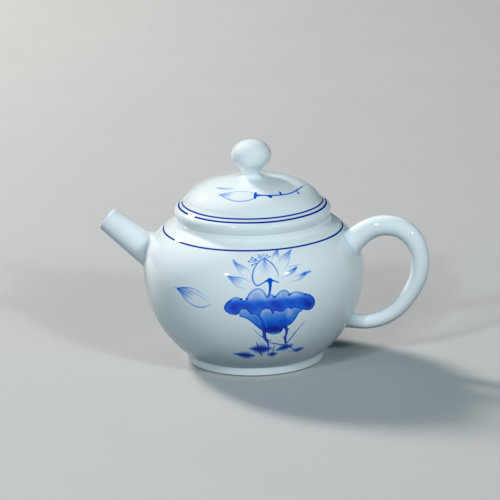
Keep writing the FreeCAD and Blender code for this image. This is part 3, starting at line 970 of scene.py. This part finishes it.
# Bud with faint outlines, a second petal behind it, and its knotted twig
sprig.strokes([
    ([(-18, 1.4), (-15, 0.6), (-12, -0.4), (-8.5, -1.1), (-5.5, -0.7), (-3, 0.3), (-1.8, 1.5)],
     [0.45, 0.6, 0.6], [0.4, 0.36, 0.42]),
    ([(-17.2, 1.6), (-15, 3.1), (-12.4, 4.3), (-9, 5), (-6, 5.2), (-2.2, 3.7)],
     [0.6], [0.38, 0.24, 0.18, 0.26]),
])
for vein in [
    [(-17.4, 1.6), (-14.5, 1.4), (-11, 1.2)],
    [(-17.2, 1.8), (-14.4, 2.1), (-10.6, 2.3)],
    [(-17, 2), (-14.4, 2.9), (-11.4, 3.5)],
]:
    sprig.streak(vein, [0.6, 0.9, 0.9], [0.5, 0.3, 0])
for vein in [
    [(-23.4, 4.9), (-20, 5.3), (-16, 5.7), (-12.5, 5.9)],
    [(-23, 5), (-19, 5.9), (-15.5, 6.7), (-12, 7.1)],
]:
    sprig.streak(vein, [0.6, 1, 1.1, 0.9], [0.5, 0.36, 0.2, 0])
sprig.strokes([
    ([(-1.9, 0.7), (-1.7, 1.6), (-1.6, 2.6), (-1.4, 3.6), (-1.2, 4.5)], [0.8, 1.1, 1.5, 1.1, 0.8], [0.95]),
    ([
        (-1.4, 2.5), (0.5, 2.4), (4, 1.8), (7, 1.4), (10.5, 0.9), (14, 0.7), (18, 0.95), (21.5, 1.1),
        (24.2, 1),
    ], [1.8, 0.9, 0.85, 0.75, 0.7, 0.6, 0.5], [0.8, 0.7, 0.78, 0.74, 0.78, 0.7]),
    ([(24.2, 1), (26.8, 0.5), (29.5, -0.6)], [0.5, 0.45, 0.35], [0.5, 0.34, 0.15]),
    ([(4, 1.5), (4.6, 0.9)], [1.2, 1.5], [0.95]),
    ([(9.5, 1.1), (10, 2.6)], [0.8, 1.1], [0.95]),
    ([(18.2, 0.4), (17.7, -0.8)], [0.6, 0.9], [0.7, 0.85]),
])
sprig.dab((24, 1), 0.9, 0.9)


def under_seat(middle):
    """Where the lid's flat underside rests on the collar: its inner part, which is wiped bare."""
    return (middle[:, 2] < lid_seat + seam_sink) & (reach(middle) < lid_bare_edge)


wiped_bare(lid_dome, under_seat)
groove_gap = np.hypot(lid_reach - groove_radius, lid_points[:, 2] - groove_height)
coat(lid_dome, pool=groove_pool(groove_gap, 0.6, 0.5), **sprig.layers())
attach(lid_dome, "lid")
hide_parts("lid_dome")

# Lid flange
# A plain ring under the lid that drops into the mouth and keeps the lid from sliding off. It is
# left bare, because it sits close inside the collar.

flange_low, flange_high = np.array(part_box("lid_flange")) / mm
flange_outer, flange_base = flange_high[0], flange_low[2]
flange_lead, flange_ease = 0.5, 0.2
flange_outline = np.vstack([
    [(flange_inner, lid_seat), (flange_outer, lid_seat)],
    rounded((flange_outer, flange_base), (0, 1), (-1, 0), flange_lead, flange_ease, 7),
    rounded((flange_inner, flange_base), (1, 0), (0, 1), flange_lead, flange_ease, 7),
    [(flange_inner, lid_seat)],
])
lid_flange = turned("lid_flange_skin", flange_outline, round_turns)
lid_flange.data.materials.append(biscuit)
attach(lid_flange, "lid")
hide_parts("lid_flange")

# Lid knob
# A flattened ball turned on a short waisted stem, luted to the top of the dome with a wide smooth
# flare of slip under the glaze.

knob_radius = 7.98
knob_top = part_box("lid_knob")[1][2] / mm
knob_centre = 83.72
knob_lower = 6.41
knob_low_angle = math.radians(38)
stem_radius = 3.55
stem_height = 75.8
stem_ease = 0.9
stem_pool_height = 74.8
flare_radius = 9.5
flare_ease = 4.5
flare_step = 0.5


def knob_point(angle):
    """A point of the ball at an angle above its widest circle; it is flatter above than below."""
    half = np.where(angle > 0, knob_top - knob_centre, knob_lower)
    return np.column_stack([knob_radius * np.cos(angle), knob_centre + half * np.sin(angle)])


ball = knob_point(np.linspace(math.pi / 2, -knob_low_angle, 60))
ball[0, 0] = 0
waist = np.array([stem_radius, stem_height])
under_ball = ball[-1] + 1.2 * unit(ball[-1] - ball[-2])
flare_end = np.array([flare_radius, dome_height(flare_radius) - seam_sink])
flare_slope = (dome_height(flare_radius - flare_step) - dome_height(flare_radius)) / flare_step
knob_outline = np.vstack([
    ball,
    bend(ball[-1], under_ball, waist + (0, stem_ease), waist, 16)[1:],
    bend(
        waist, waist - (0, stem_ease), flare_end + (-flare_ease, flare_ease * flare_slope), flare_end, 22,
    )[1:],
    [(0, flare_end[1] - 1.0)],
])
lid_knob = turned("lid_knob_skin", knob_outline, round_turns)
lid_knob.data.materials.append(glaze)
coat(lid_knob, pool=groove_pool(points_of(lid_knob)[:, 2] - stem_pool_height, 0.6, 0.2))
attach(lid_knob, "lid")
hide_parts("lid_knob")

# Floor
# A plain pale table top, so that the foot has something to stand on and cast its shadow on.

floor_half = 2000.0
floor_drop = 0.02
floor_mesh = bpy.data.meshes.new("floor")
corners = np.array([(-1, -1, 0), (1, -1, 0), (1, 1, 0), (-1, 1, 0)]) * floor_half - (0, 0, floor_drop)
floor_mesh.from_pydata((corners * mm).tolist(), [], [(0, 1, 2, 3)])
floor = bpy.data.objects.new("floor", floor_mesh)
bpy.context.collection.objects.link(floor)
table = new_material("matt_table")
table_place = add_node(table, "TexCoord").outputs["Object"]
table_mottle = add_node(table, "TexNoise", {"Vector": table_place, "Scale": 1 / (60 * mm)})
table_top = add_node(
    table, "Mix", {0: table_mottle, 6: linear("#B8BABB"), 7: linear("#B3B5B6")}, data_type="RGBA",
)
# The eye sees the pale top, straight or mirrored, but the light it throws back on the pot is dim
ray = add_node(table, "LightPath").outputs
seen = ray["Is Camera Ray"]
for kind in ("Is Glossy Ray", "Is Transmission Ray"):
    seen = add_node(table, "Math", {0: seen, 1: ray[kind]}, operation="MAXIMUM")
table_colour = add_node(table, "Mix", {0: seen, 6: linear("#2A4C54"), 7: table_top}, data_type="RGBA")
table_surface = add_node(table, "BsdfPrincipled", {"Base Color": table_colour, "Roughness": 0.7})
add_node(table, "OutputMaterial", {"Surface": table_surface})
floor_mesh.materials.append(table)

# Light
# Three soft windows, behind to the left and either side of the viewer, and in front of each a
# small lamp. Only the small lamps are mirrored in the glaze, as its bright points.

window_distance, window_size = 1600, 450
glint_distance = 1500
lit_height = 45


def direction(turn, lift):
    """The way out from the pot at a turn round it and a lift above level, both in degrees."""
    turn, lift = math.radians(turn), math.radians(lift)
    return Vector((math.sin(turn) * math.cos(lift), -math.cos(turn) * math.cos(lift), math.sin(lift)))


def lamp(name, turn, lift, far, size, level, colour, mirrored):
    """A round lamp that faces the pot from a turn round it, a lift above level and a distance in
    millimetres. A white matt surface that faces the lamp alone shows its level."""
    light = bpy.data.lights.new(name, "AREA")
    light.shape = "DISK"
    light.size = size * mm
    light.energy = level * (math.pi * far * mm) ** 2
    light.color = linear(colour)[:3]
    way = direction(turn, lift)
    holder = bpy.data.objects.new(name, light)
    holder.location = Vector((0, 0, lit_height * mm)) + way * far * mm
    holder.rotation_euler = way.to_track_quat("Z", "Y").to_euler()
    holder.visible_glossy = mirrored
    bpy.context.collection.objects.link(holder)


for side, turn, lift, window_turn, level, glint_size, glint_level, colour in [
    ("back", -126, 36, -126, 0.45, 240, 0.72, "#FFF6EF"),
    ("left", -19, 31, -12, 0.33, 70, 0.17, "#F1FAFF"),
    ("right", 49, 29, 48, 0.30, 70, 0.17, "#F4FCFF"),
]:
    lamp(side + "_window", window_turn, lift, window_distance, window_size, level, colour, False)
    lamp(side + "_glint", turn, lift, glint_distance, glint_size, glint_level, colour, True)

room = bpy.data.worlds.new("dim_room")
room.use_nodes = True
room.node_tree.nodes.clear()
room_light = add_node(room, "Background", {"Color": linear("#68D6E6"), "Strength": 0.075})
add_node(room, "OutputWorld", {"Surface": room_light})
bpy.context.scene.world = room

# Camera
# Level with a seated viewer: turned towards the handle side, a little above the pot and tipped
# slightly, through a long lens.

camera_turn = 12
camera_lift = 16.16
camera_roll = math.radians(-1.3)
camera_far = 1500.0
camera_lens, camera_film = 270, 36
aim_height = 40
aim_right, aim_above = -1.37, 4.09
right = direction(camera_turn + 90, 0)
back = direction(camera_turn, camera_lift)
above = back.cross(right)
aim = Vector((0, 0, aim_height)) + aim_right * right + aim_above * above
place = aim + camera_far * back
rolled_right = math.cos(camera_roll) * right + math.sin(camera_roll) * above
rolled_above = math.cos(camera_roll) * above - math.sin(camera_roll) * right
lens = bpy.data.cameras.new("camera")
lens.lens = camera_lens
lens.sensor_width = camera_film
camera = bpy.data.objects.new("camera", lens)
facing = Matrix((rolled_right, rolled_above, back)).transposed().to_4x4()
camera.matrix_world = Matrix.Translation(place * mm) @ facing
bpy.context.collection.objects.link(camera)
bpy.context.scene.camera = camera
bpy.context.scene.view_settings.view_transform = "Standard"
